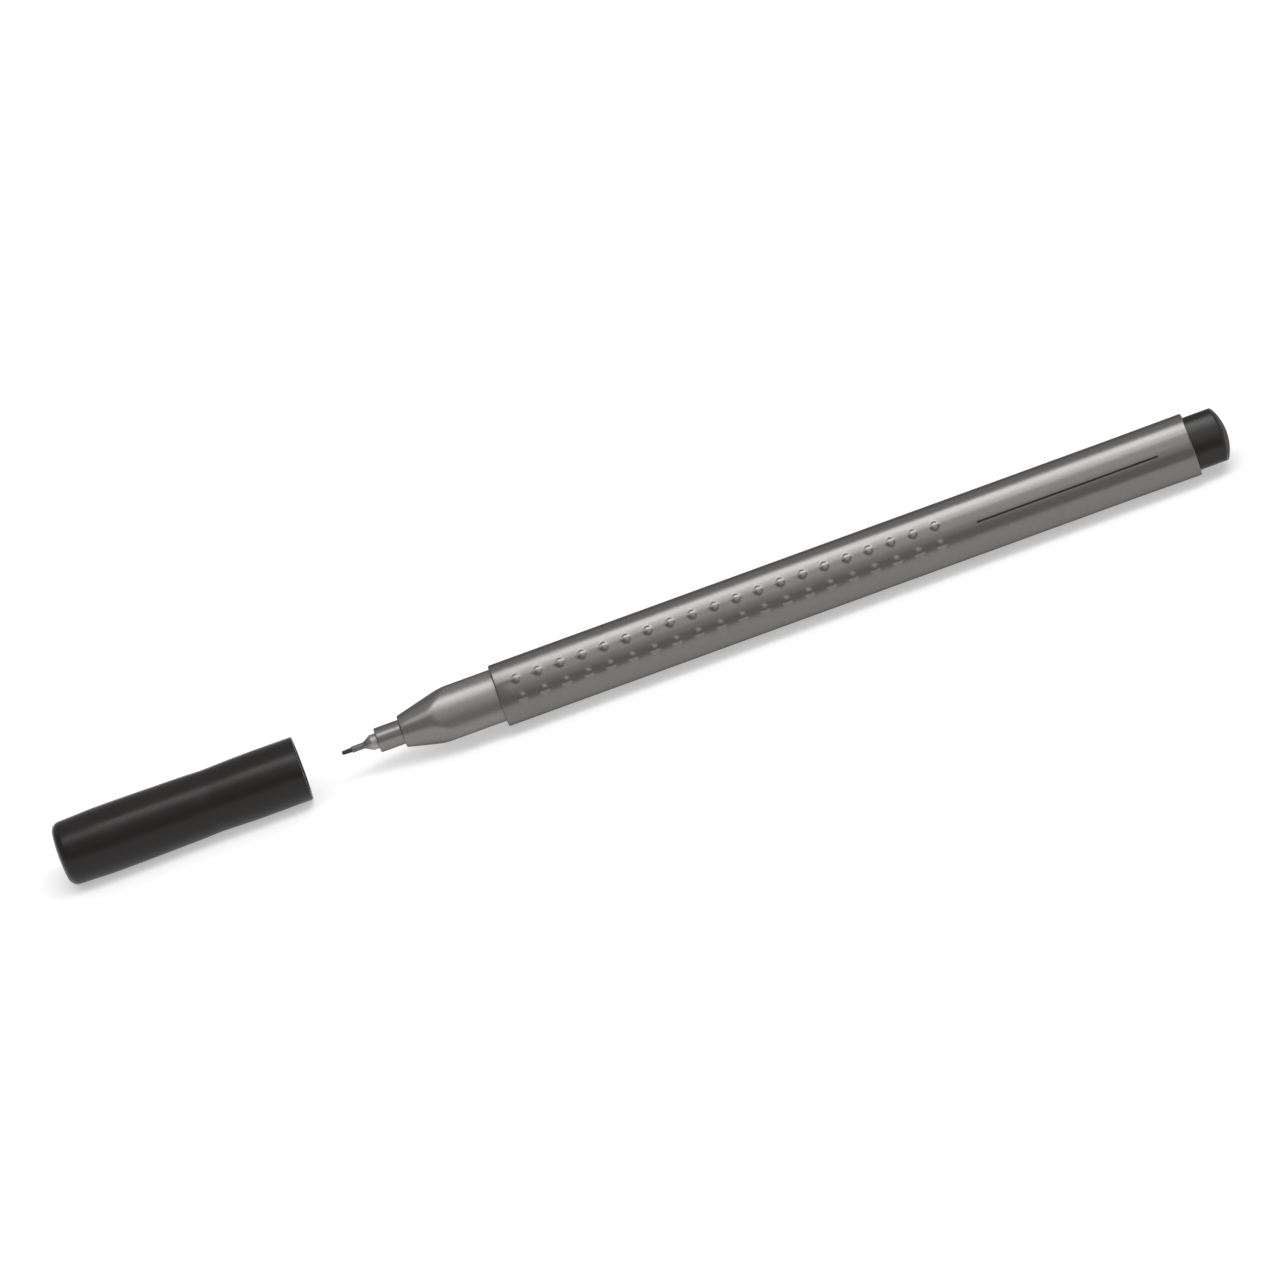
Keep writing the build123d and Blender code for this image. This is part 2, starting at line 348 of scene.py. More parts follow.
def with_stations(profile, stations):
    """The profile with a point added wherever one of its forward segments passes a station.

    A forward segment is one along which the station grows. Its other values are interpolated.
    """
    segment = np.nonzero(np.diff(profile[:, 0]) > SAME_POINT)[0]
    start, end = profile[segment, 0], profile[segment + 1, 0]
    stations = np.unique(np.round(stations, 8))
    passed = (stations > start[:, None] + NEAR) & (stations < end[:, None] - NEAR)
    which, station = np.nonzero(passed)
    t = (stations[station] - start[which]) / (end - start)[which]
    before, after = profile[segment[which]], profile[segment[which] + 1]
    added = before + t[:, None] * (after - before)
    places = np.concatenate([np.arange(len(profile)), segment[which] + t])
    return np.concatenate([profile, added])[np.argsort(places, kind="stable")]


def softest(a, b, softness):
    """The smaller of two values, blended by a parabola where they differ by less than the
    softness."""
    overlap = np.clip(softness - np.abs(a - b), 0, None)
    return np.minimum(a, b) - overlap**2 / (4 * softness)


def trimmed_outline(outline, angles, growth, radius, softness, turn):
    """Outline of each row pulled towards the axis to at most that row's turned radius, with a soft
    crease, and turned about the axis by that row's angle."""
    y, z = soft_triangle(outline, angles[None, :], growth[:, None])
    distance = np.hypot(y, z)
    pulled = softest(distance, radius[:, None], softness) / distance
    cosine, sine = np.cos(turn)[:, None], np.sin(turn)[:, None]
    return (y * cosine - z * sine) * pulled, (y * sine + z * cosine) * pulled


def full_turn(steps):
    """Angles once round the axis in even steps."""
    return np.linspace(0, 2 * math.pi, steps + 1)[:-1]


def lathed(radius, angles):
    """Offsets (y, z) of each row's radius turned about the axis."""
    return radius[:, None] * np.cos(angles), radius[:, None] * np.sin(angles)


def smooth_through(knots, values, places):
    """Cubic through the values at the knots, with each knot's slope taken from its neighbours."""
    slopes = np.gradient(values, knots)
    at = np.clip(np.searchsorted(knots, places) - 1, 0, len(knots) - 2)
    span = knots[at + 1] - knots[at]
    t = (places - knots[at]) / span
    return (
        (1 + 2 * t) * (1 - t) ** 2 * values[at]
        + t * (1 - t) ** 2 * span * slopes[at]
        + t**2 * (3 - 2 * t) * values[at + 1]
        + t**2 * (t - 1) * span * slopes[at + 1]
    )


def lay_skin(name, stations, y, z, poles=None):
    """A piece from a grid of points, with rows along its profile and columns once round the axis.

    Columns close on themselves. Rows close too, unless poles gives the stations of a front and a
    rear point on the axis, which then close the two ends. Rows run forward on the outside, so faces
    point outwards.
    """
    rows, columns = y.shape
    grid = np.stack([np.broadcast_to(stations[:, None], y.shape), y, z + AXIS_HEIGHT], axis=-1)
    points = grid.reshape(-1, 3)
    column = np.arange(columns)[None, :]
    beside = (column + 1) % columns
    row = np.arange(rows - 1 if poles else rows)[:, None]
    here, after = row * columns, (row + 1) % rows * columns
    corners = [here + column, here + beside, after + beside, after + column]
    loops = np.stack(np.broadcast_arrays(*corners), axis=-1).reshape(-1)
    starts = np.arange(0, len(loops), 4)
    if poles:
        ends = np.array([[station, 0, AXIS_HEIGHT] for station in poles])
        first, last = len(points), len(points) + 1
        column, beside, final = column[0], beside[0], (rows - 1) * columns
        front = np.column_stack([np.full(columns, first), beside, column])
        rear = np.column_stack([final + column, final + beside, np.full(columns, last)])
        fans = np.concatenate([front, rear]).reshape(-1)
        starts = np.concatenate([starts, len(loops) + np.arange(0, len(fans), 3)])
        loops = np.concatenate([loops, fans])
        points = np.concatenate([points, ends])
    mesh = bpy.data.meshes.new(name)
    mesh.vertices.add(len(points))
    mesh.vertices.foreach_set("co", points.astype(np.float32).ravel())
    mesh.loops.add(len(loops))
    mesh.loops.foreach_set("vertex_index", loops.astype(np.int32))
    mesh.polygons.add(len(starts))
    mesh.polygons.foreach_set("loop_start", starts.astype(np.int32))
    mesh.update(calc_edges=True)
    if mesh.validate():
        raise RuntimeError(f"{name} has broken faces")
    mesh.shade_smooth()
    mesh.set_sharp_from_angle(angle=SHARP)
    piece = bpy.data.objects.new(name, mesh)
    bpy.context.scene.collection.objects.link(piece)
    return piece


def dress(piece, node, body, material):
    """Gives a finished piece its finish, and lets it stand for its CAD node on that node's body."""
    piece.data.materials.append(material)
    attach(piece, body)
    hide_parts(node)


def facing(place, right, up, back):
    """Matrix of an object at a place, by the directions of its own three axes."""
    return Matrix.Translation(place) @ Matrix((right, up, back)).transposed().to_4x4()


# Finishes


def add_node(tree, kind, inputs=None, **settings):
    """A new shader node, with inputs set to values or joined to other nodes' outputs."""
    made = tree.nodes.new(kind)
    for key, value in settings.items():
        setattr(made, key, value)
    for key, value in (inputs or {}).items():
        if isinstance(value, bpy.types.NodeSocket):
            tree.links.new(value, made.inputs[key])
        else:
            made.inputs[key].default_value = value
    return made


def new_finish(name):
    """An empty material, its node tree and the pen's own coordinates in metres."""
    material = bpy.data.materials.new(name)
    material.use_nodes = True
    tree = material.node_tree
    tree.nodes.clear()
    return material, tree, add_node(tree, "ShaderNodeTexCoord").outputs["Object"]


def axes(tree, coordinates):
    """The pen's coordinates one by one: along it, across it and up."""
    return add_node(tree, "ShaderNodeSeparateXYZ", {0: coordinates}).outputs


def grain(tree, coordinates, size, detail=2.0, stretch=(1, 1, 1)):
    """Noise whose blotches are about the given size in metres, stretched along the axes."""
    scale = tuple(1 / (size * s) for s in stretch)
    scaled = add_node(tree, "ShaderNodeMapping", {"Vector": coordinates, "Scale": scale}).outputs[0]
    inputs = {"Vector": scaled, "Scale": 1.0, "Detail": detail}
    return add_node(tree, "ShaderNodeTexNoise", inputs).outputs[0]


def between(tree, value, low, high, start=NOISE_LOW, end=NOISE_HIGH):
    """A value from start to end turned into one from low to high."""
    inputs = {"Value": value, "From Min": start, "From Max": end, "To Min": low, "To Max": high}
    return add_node(tree, "ShaderNodeMapRange", inputs).outputs[0]


def shades(tree, noise, base, dark, light):
    """A base colour made darker or lighter by a noise, between two factors."""
    ramp = add_node(tree, "ShaderNodeValToRGB", {"Fac": noise})
    stops = zip(ramp.color_ramp.elements, (NOISE_LOW, NOISE_HIGH), (dark, light))
    for element, position, factor in stops:
        element.position = position
        element.color = (*(min(1.0, channel * factor) for channel in base), 1)
    return ramp.outputs[0]


def reckon(tree, operation, a, b=0.0):
    """One step of arithmetic on two values."""
    return add_node(tree, "ShaderNodeMath", {0: a, 1: b}, operation=operation).outputs[0]


def weighed(tree, a, a_share, b, b_share):
    """The sum of two values, each times its share."""
    a_part, b_part = reckon(tree, "MULTIPLY", a, a_share), reckon(tree, "MULTIPLY", b, b_share)
    return reckon(tree, "ADD", a_part, b_part)


def within(tree, value, low, high, soft):
    """1 where a value lies between two limits and 0 beyond, with soft ends."""
    off = reckon(tree, "ABSOLUTE", reckon(tree, "SUBTRACT", value, (low + high) / 2))
    half = (high - low) / 2
    return between(tree, off, 1.0, 0.0, half - soft, half + soft)


def mixed(tree, factor, a, b):
    """A colour between two colours."""
    node = add_node(tree, "ShaderNodeMix", {0: factor, 6: a, 7: b}, data_type="RGBA")
    return node.outputs[2]


def close_finish(tree, height, depth, **inputs):
    """Joins the shader to the output, with its bump from a height and a depth in metres."""
    relief = {"Height": height, "Distance": depth, "Strength": 1.0}
    bump = add_node(tree, "ShaderNodeBump", relief)
    sockets = {key.replace("_", " "): value for key, value in inputs.items()}
    shader = add_node(tree, "ShaderNodeBsdfPrincipled", {**sockets, "Normal": bump.outputs[0]})
    add_node(tree, "ShaderNodeOutputMaterial", {"Surface": shader.outputs[0]})


def printed_rule(tree, coordinates, barrel):
    """1 on the printed rule and 0 elsewhere: near its line across the side, between its ends, on
    that side."""
    normal, soft = FIRST_SIDE + TURN, 0.03 * MM
    cosine, sine = math.cos(normal), math.sin(normal)
    place = axes(tree, coordinates)
    up = reckon(tree, "SUBTRACT", place[2], AXIS_HEIGHT)
    down_side = weighed(tree, place[1], -sine, up, cosine)
    outward = weighed(tree, place[1], cosine, up, sine)
    edge = barrel.rule_width / 2
    on_line = within(tree, down_side, barrel.rule_drop - edge, barrel.rule_drop + edge, soft)
    on_length = within(tree, place[0], barrel.rule_start, barrel.rule_end, soft)
    on_side = reckon(tree, "GREATER_THAN", outward, 0.0)
    return reckon(tree, "MULTIPLY", reckon(tree, "MULTIPLY", on_line, on_length), on_side)


def silver_finish(settings, name, with_rule, paleness, rough):
    """Metallic moulded plastic: fine flakes in its colour, a satin from a front to a rear
    roughness, and a faint skin."""
    finishes = settings.finishes
    material, tree, coordinates = new_finish(name)
    flakes = grain(tree, coordinates, 0.09 * MM, 1.0)
    clouds = grain(tree, coordinates, 7 * MM, 2.0, (3, 1, 1))
    skin = grain(tree, coordinates, 0.25 * MM, 3.0)
    tone = shades(tree, flakes, finishes.silver, 0.9 * paleness, 1.1 * paleness)
    along, even = axes(tree, coordinates)[0], 20 * MM
    satin = between(tree, along, *rough, BARREL_FRONT + even, BARREL_REAR - even)
    gloss = reckon(tree, "ADD", satin, between(tree, clouds, -0.025, 0.025))
    metallic, edge = 0.85, (0.5, 0.5, 0.5, 1)
    if with_rule:
        rule = printed_rule(tree, coordinates, settings.barrel)
        tone = mixed(tree, rule, tone, (*finishes.ink, 1))
        metallic = between(tree, rule, metallic, 0.0, 0.0, 1.0)
    close_finish(
        tree,
        skin,
        0.0012 * MM,
        Base_Color=tone,
        Metallic=metallic,
        Roughness=gloss,
        Specular_Tint=edge,
    )
    return material


def black_finish(settings, name, rough, end_rough, specular):
    """Satin moulded plastic: a faint mottle in colour and gloss, a fine eroded skin, and a gloss of
    its own on the pen's rear face."""
    material, tree, coordinates = new_finish(name)
    mottle = grain(tree, coordinates, 3 * MM, 3.0, (2, 1, 1))
    skin = grain(tree, coordinates, 0.2 * MM, 3.0)
    tone = shades(tree, mottle, settings.finishes.black, 0.88, 1.12)
    along = axes(tree, coordinates)[0]
    satin = between(tree, along, rough, end_rough, REAR_END - 1.5 * MM, REAR_END - 1.0 * MM)
    gloss = reckon(tree, "ADD", satin, between(tree, mottle, -0.03, 0.03))
    close_finish(
        tree, skin, 0.0015 * MM, Base_Color=tone, Roughness=gloss, Specular_IOR_Level=specular
    )
    return material


def metal_finish(settings):
    """Drawn metal: fine rings round the sleeve in its gloss and skin, and a darker tone on its thin
    tube than on its collar and cone."""
    finishes, nib = settings.finishes, settings.nib
    material, tree, coordinates = new_finish("drawn_metal")
    rings = grain(tree, coordinates, 0.04 * MM, 2.0, (1, 40, 40))
    spots = grain(tree, coordinates, 0.5 * MM, 3.0)
    along, collar_front = axes(tree, coordinates)[0], NOZZLE_FRONT - nib.collar_shown
    # 0 on the thin tube, rising to 1 on the collar: the tube gets a darker tone of the metal, the
    # collar and cone a lighter one
    cone_share = between(tree, along, 0.0, 1.0, collar_front - nib.cone_length, collar_front)
    darker_tube = shades(tree, spots, finishes.tube, 0.85, 1.15)
    bright = shades(tree, spots, finishes.metal, 0.9, 1.1)
    tone = mixed(tree, cone_share, darker_tube, bright)
    gloss = between(tree, rings, 0.42, 0.52)
    close_finish(tree, rings, 0.0003 * MM, Base_Color=tone, Metallic=1.0, Roughness=gloss)
    return material


def plain_finish(name, base, noise, tint, rough, depth, **inputs):
    """A finish whose colour, gloss and skin follow one noise: a tint between two factors, a
    roughness between two values, and a depth in metres."""
    material, tree, coordinates = new_finish(name)
    pattern = grain(tree, coordinates, *noise)
    tone, gloss = shades(tree, pattern, base, *tint), between(tree, pattern, *rough)
    close_finish(tree, pattern, depth, Base_Color=tone, Roughness=gloss, **inputs)
    return material


def fibre_finish(settings, name, strand):
    """Fibres that run along the pen, soaked with ink."""
    noise, tint, rough = (strand, 2.0, (12, 1, 1)), (0.7, 2.2), (0.75, 0.55)
    return plain_finish(name, settings.finishes.ink, noise, tint, rough, strand / 4)


def seal_finish(settings):
    """Soft matte plastic with a slightly waxy mottle."""
    noise, tint, rough, depth = (1.5 * MM, 3.0), (0.85, 1.15), (0.5, 0.6), 0.002 * MM
    return plain_finish("seal_plastic", settings.finishes.seal, noise, tint, rough, depth)


def film_finish(settings):
    """Thin clear wrap with faint lengthwise streaks."""
    noise, tint, rough = (0.6 * MM, 2.0, (15, 1, 1)), (0.93, 1.05), (0.12, 0.22)
    film, depth = settings.finishes.film, 0.002 * MM
    return plain_finish("clear_film", film, noise, tint, rough, depth, Alpha=0.4)


def floor_finish(settings):
    """Smooth pale table top with a hardly visible mottle, lifted to white in the picture and in
    reflections."""
    material, tree, coordinates = new_finish("pale_table")
    mottle = grain(tree, coordinates, 60 * MM, 2.0)
    tone = shades(tree, mottle, settings.finishes.floor, 0.995, 1.005)
    table = add_node(tree, "ShaderNodeBsdfDiffuse", {"Color": tone})
    path = add_node(tree, "ShaderNodeLightPath").outputs
    seen = reckon(tree, "MAXIMUM", path["Is Camera Ray"], path["Is Glossy Ray"])
    seen = reckon(tree, "MAXIMUM", seen, path["Is Transmission Ray"])
    glow = reckon(tree, "MULTIPLY", seen, settings.stage.floor_glow)
    white = add_node(tree, "ShaderNodeEmission", {"Strength": glow})
    both = add_node(tree, "ShaderNodeAddShader", {0: table.outputs[0], 1: white.outputs[0]})
    add_node(tree, "ShaderNodeOutputMaterial", {"Surface": both.outputs[0]})
    return material


# Operators


class FINELINER_OT_barrel(Operator):
    """Build the barrel with its rows of grip dots"""

    bl_idname = "fineliner.barrel"
    bl_label = "Barrel"

    def execute(self, context):
        """A closed wall profile carried round the outline. At every dot it is raised by the height
        of a ball above the side, by the distance along the barrel and round the side from the
        nearest dot, softened where ball and side meet."""
        settings = context.scene.fineliner
        outline, barrel = settings.outline, settings.barrel
        _, arc_radius, _, half_side = outline_measures(outline)
        row_angle = math.asin(barrel.dot_row_spacing / 2 / arc_radius)
        foot = barrel.dot_diameter / 2
        zone = np.linspace(-DOT_ZONE, DOT_ZONE, DOT_STEPS + 1) * foot
        band, plain = row_angle + zone / arc_radius, 6
        side = np.concatenate(
            [
                np.linspace(-half_side, -band[-1], plain)[:-1],
                -band[::-1],
                np.linspace(-band[0], band[0], plain)[1:-1],
                band,
                np.linspace(band[-1], half_side, plain)[1:-1],
            ]
        )
        angles = outline_angles(outline, side, corner_steps=12)

        flare_start = BARREL_REAR - barrel.flare_length
        inner_edge, flare_bend = 0.05 * MM, 400 * MM
        corners, radii = zip(
            ((BARREL_FRONT, -barrel.wall), inner_edge),
            ((BARREL_FRONT, 0), barrel.front_rounding),
            ((flare_start, 0), flare_bend),
            ((BARREL_REAR, barrel.flare), barrel.rear_rounding),
            ((BARREL_REAR, -barrel.wall), inner_edge),
        )
        first_dot = BARREL_FRONT + barrel.dot_margin
        dots = first_dot + barrel.dot_pitch * np.arange(barrel.dot_count)
        fine = (dots[:, None] + zone).ravel()
        gaps = (dots[:, None] + DOT_GAPS * barrel.dot_pitch).ravel()
        bare = np.linspace(gaps[-1], flare_start, 14)
        profile = with_stations(rounded(corners, radii), np.concatenate([fine, gaps, bare]))

        stations, growth = profile.T
        nearest = np.round((stations - first_dot) / barrel.dot_pitch)
        nearest = np.clip(nearest, 0, barrel.dot_count - 1)
        along = stations - first_dot - nearest * barrel.dot_pitch
        round_side = arc_radius * (np.abs(from_side_middle(angles)) - row_angle)
        distance = np.hypot(along[:, None], round_side[None, :])
        ball = (foot**2 + barrel.dot_height**2) / (2 * barrel.dot_height)
        rise = np.sqrt(np.clip(ball**2 - distance**2, 0, None)) - (ball - barrel.dot_height)
        rise = (rise + np.sqrt(rise**2 + barrel.dot_foot**2)) / 2
        outside = growth > -barrel.dot_height
        near_dot = distance < foot + 10 * barrel.dot_foot
        height = np.where(outside[:, None] & near_dot, np.minimum(rise, barrel.dot_height), 0)
        y, z = soft_triangle(outline, angles[None, :], growth[:, None] + height)
        piece = lay_skin("barrel_skin", stations, y, z)
        finish = silver_finish(settings, "silver_barrel", True, paleness=1.0, rough=(0.215, 0.2))
        dress(piece, "barrel", "pen", finish)
        return {"FINISHED"}


class FINELINER_OT_front_section(Operator):
    """Build the front section with its spigot, cone and nozzle"""

    bl_idname = "fineliner.front_section"
    bl_label = "Front section"

    def execute(self, context):
        """A profile of station, turned radius and growth carried round: each row is the outline
        trimmed to its turned radius, so the sides run out into the cone in a soft crease."""
        settings = context.scene.fineliner
        outline, section = settings.outline, settings.section
        nose = NOZZLE_FRONT + section.nozzle_length
        slope = math.tan(section.cone_half_angle)
        nose_radius, nozzle_radius = section.nose_diameter / 2, section.nozzle_diameter / 2
        collar_radius, wick_radius = section.collar_bore / 2, section.wick_bore / 2
        base_radius = nose_radius + (BARREL_FRONT - nose) * slope
        spigot, shank = -section.step, -section.shank_step
        bore_edge, nozzle_root = 0.12 * MM, 0.08 * MM
        corners, radii = zip(
            ((NOZZLE_FRONT, collar_radius, spigot), bore_edge),
            ((NOZZLE_FRONT, nozzle_radius, spigot), section.nozzle_rounding),
            ((nose, nozzle_radius, spigot), nozzle_root),
            ((nose, nose_radius, spigot), section.nose_rounding),
            ((BARREL_FRONT, base_radius, spigot), 0),
            ((BARREL_FRONT, base_radius, shank), 0),
            ((SHANK_REAR, base_radius, shank), 0),
            ((SHANK_REAR, wick_radius, shank), 0),
            ((COLLAR_REAR, wick_radius, shank), 0),
            ((COLLAR_REAR, collar_radius, spigot), 0),
        )
        crease_front, crease_rear = nose + 4.2 * MM, nose + 9.0 * MM
        crease = np.linspace(crease_front, crease_rear, 40)
        even = np.linspace(nose, BARREL_FRONT, 12)
        profile = with_stations(rounded(corners, radii), np.concatenate([crease, even]))
        stations, radius, growth = profile.T
        angles = even_angles(outline, side_steps=26, corner_steps=22)
        turn = np.where(growth > (spigot + shank) / 2, section.turn, 0)
        y, z = trimmed_outline(outline, angles, growth, radius, section.crease_softness, turn)
        piece = lay_skin("front_section_skin", stations, y, z)
        finish = silver_finish(settings, "silver_section", False, paleness=1.22, rough=(0.27, 0.27))
        dress(piece, "front_section", "pen", finish)
        return {"FINISHED"}


class FINELINER_OT_nib(Operator):
    """Build the nib's metal sleeve and its fibre core"""

    bl_idname = "fineliner.nib"
    bl_label = "Nib"

    def execute(self, context):
        """Two profiles of station and radius turned about the axis: a thin closed wall, and a rod
        with a rounded point. Each corner is given with its rounding in millimetres."""
        settings = context.scene.fineliner
        nib = settings.nib
        angles = full_turn(56)
        collar_front = NOZZLE_FRONT - nib.collar_shown
        tube_root = collar_front - nib.cone_length
        tube, collar, wall = nib.tube_diameter / 2, nib.collar_diameter / 2, nib.sleeve_wall
        corners, radii = zip(
            ((TUBE_MOUTH, tube), 0.05),
            ((tube_root, tube), 0.5),
            ((collar_front, collar), 0.25),
            ((COLLAR_REAR, collar), 0.03),
            ((COLLAR_REAR, collar - wall), 0),
            ((collar_front, collar - wall), 0.2),
            ((tube_root, tube - wall), 0.5),
            ((TUBE_MOUTH, tube - wall), 0.03),
        )
        stations, radius = rounded(corners, np.array(radii) * MM).T
        sleeve = lay_skin("nib_sleeve_skin", stations, *lathed(radius, angles))
        dress(sleeve, "nib_sleeve", "pen", metal_finish(settings))

        core, point, wick = nib.core_diameter / 2, nib.point_diameter / 2, nib.wick_diameter / 2
        point_at, swell_start = TIP + nib.point_worn, collar_front + wall
        corners, radii = zip(
            ((point_at, 0), 0),
            ((point_at, point), 0.22),
            ((TUBE_MOUTH, core), 0.4),
            ((swell_start, core), 0.3),
            ((swell_start + nib.cone_length, wick), 0.3),
            ((WICK_REAR, wick), 0.1),
            ((WICK_REAR, 0), 0),
        )
        profile = rounded(corners, np.array(radii) * MM)
        stations, radius = profile[profile[:, 1] > NEAR].T
        poles = point_at, WICK_REAR
        tip = lay_skin("nib_core_skin", stations, *lathed(radius, angles), poles)
        fibre = fibre_finish(settings, "nib_fibre", strand=0.05 * MM)
        dress(tip, "nib_core", "pen", fibre)
        return {"FINISHED"}


class FINELINER_OT_rear_plug(Operator):
    """Build the domed plug in the rear end"""

    bl_idname = "fineliner.rear_plug"
    bl_label = "Rear plug"

    def execute(self, context):
        """A profile of station, turned radius and growth carried round, trimmed by a ball with a
        soft edge, with a hollow shank whose end is closed by the dome."""
        settings = context.scene.fineliner
        outline, plug, ball = settings.outline, settings.plug, settings.plug.dome_radius
        dome_edge, dome_pole = math.radians(48), math.radians(1.5)
        dome = np.linspace(dome_edge, dome_pole, 30)
        dome_stations = REAR_END - ball + ball * np.cos(dome)
        side, shank = -plug.step, -plug.shank_step
        inner, hub = shank - plug.wall, 0.2 * MM
        shank_rows = [
            (BARREL_REAR, hub, inner),
            (BARREL_REAR, OPEN, inner),
            (PLUG_FRONT, OPEN, inner),
            (PLUG_FRONT, OPEN, shank),
            (BARREL_REAR, OPEN, shank),
            (BARREL_REAR, OPEN, side),
        ]
        dome_rows = np.column_stack([dome_stations, ball * np.sin(dome), np.full_like(dome, side)])
        stations, radius, growth = np.concatenate([shank_rows, dome_rows]).T
        angles = even_angles(outline, side_steps=24, corner_steps=20)
        turn = np.zeros_like(growth)
        y, z = trimmed_outline(outline, angles, growth, radius, plug.edge_softness, turn)
        piece = lay_skin("rear_plug_skin", stations, y, z, poles=(BARREL_REAR, REAR_END))
        finish = black_finish(settings, "black_plug", rough=0.24, end_rough=0.6, specular=0.38)
        dress(piece, "rear_plug", "pen", finish)
        return {"FINISHED"}


class FINELINER_OT_cap(Operator):
    """Build the waisted cap with its rounded end, bore and vent"""

    bl_idname = "fineliner.cap"
    bl_label = "Cap"

    def execute(self, context):
        """A closed profile of station, turned radius and growth carried round. Outside, the turned
        radius follows a cubic through measured radii, then an arc onto the crowned face of the
        closed end. Inside, the growth follows the bore and its ledge."""
        settings = context.scene.fineliner
        outline, cap = settings.outline, settings.cap
        knots, girth = np.array([CAP_KNOTS, CAP_RADII]) * MM
        vent, rounding, crown = cap.vent_diameter / 2, cap.end_rounding, cap.end_crown
        vent_edge, vent_bevel = 0.1 * MM, 0.03 * MM

        arc_foot = CAP_MOUTH - CAP_END - np.array([rounding])
        arc_centre = smooth_through(knots, girth, arc_foot)[0] - rounding
        face_radius = arc_centre / (1 - rounding / crown)
        face = np.linspace(vent + vent_edge, face_radius, 8)
        face_station = CAP_END + (face**2 - vent**2) / (2 * crown)
        first_turn = math.asin(face_radius / crown)
        bend = np.linspace(first_turn, math.pi / 2, 14)[1:]
        arc_station = face_station[-1] + rounding * (math.cos(first_turn) - np.cos(bend))
        arc = arc_centre + rounding * np.sin(bend)

        wall_end, waist_far, waist_near = CAP_MOUTH - arc_station[-1], 19 * MM, 9 * MM
        rim_round = cap.rim_rounding
        from_mouth = np.concatenate(
            [
                np.linspace(wall_end, waist_far, 26)[1:-1],
                np.linspace(waist_far, waist_near, 24)[:-1],
                np.linspace(waist_near, rim_round, 6),
            ]
        )
        wall = smooth_through(knots, girth, from_mouth)
        rim = np.linspace(0, math.pi / 2, 6)[1:]
        by_sine, by_cosine = rim_round * (1 - np.sin(rim)), rim_round * (1 - np.cos(rim))
        outside = np.array(
            [
                (CAP_END + vent_edge, vent),
                (CAP_END + vent_bevel, vent + vent_bevel),
                *zip(face_station, face),
                *zip(arc_station, arc),
                *zip(CAP_MOUTH - from_mouth, wall),
                *zip(CAP_MOUTH - by_sine, wall[-1] - by_cosine),
            ]
        )
        bore, inner = -cap.bore_step, -cap.bore_step - cap.ledge
        ledge_at, inner_end = SEAL_MOUTH - cap.seal_flange, CAP_END + cap.end_wall
        inside = np.array(
            [
                *zip(CAP_MOUTH - by_cosine, bore + by_sine),
                (ledge_at, bore),
                (ledge_at, inner),
                (inner_end, inner),
            ]
        )
        inner_ring, crease = vent + 1.0 * MM, 0.01 * MM
        stations = np.concatenate([outside[:, 0], inside[:, 0], [inner_end, inner_end]])
        radius = np.concatenate([outside[:, 1], np.full(len(inside), OPEN), [inner_ring, vent]])
        growth = np.concatenate([np.full(len(outside), OPEN), inside[:, 1], [inner, inner]])
        angles = even_angles(outline, side_steps=26, corner_steps=24)
        turn = np.full(len(stations), settings.section.turn)
        y, z = trimmed_outline(outline, angles, growth, radius, crease, turn)
        piece = lay_skin("cap_shell_skin", stations, y, z)
        finish = black_finish(settings, "black_cap", rough=0.3, end_rough=0.3, specular=0.31)
        dress(piece, "cap_shell", "cap", finish)
        return {"FINISHED"}


class FINELINER_OT_inside(Operator):
    """Finish the seal in the cap, and the reservoir and its wrap in the barrel"""

    bl_idname = "fineliner.inside"
    bl_label = "Inner pieces"

    def execute(self, context):
        settings = context.scene.fineliner
        finishes = {
            "cap_inner_seal": seal_finish(settings),
            "ink_reservoir": fibre_finish(settings, "reservoir_fibre", strand=0.15 * MM),
            "reservoir_film": film_finish(settings),
        }
        for node, finish in finishes.items():
            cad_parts[node].material_slots[0].material = finish
        return {"FINISHED"}


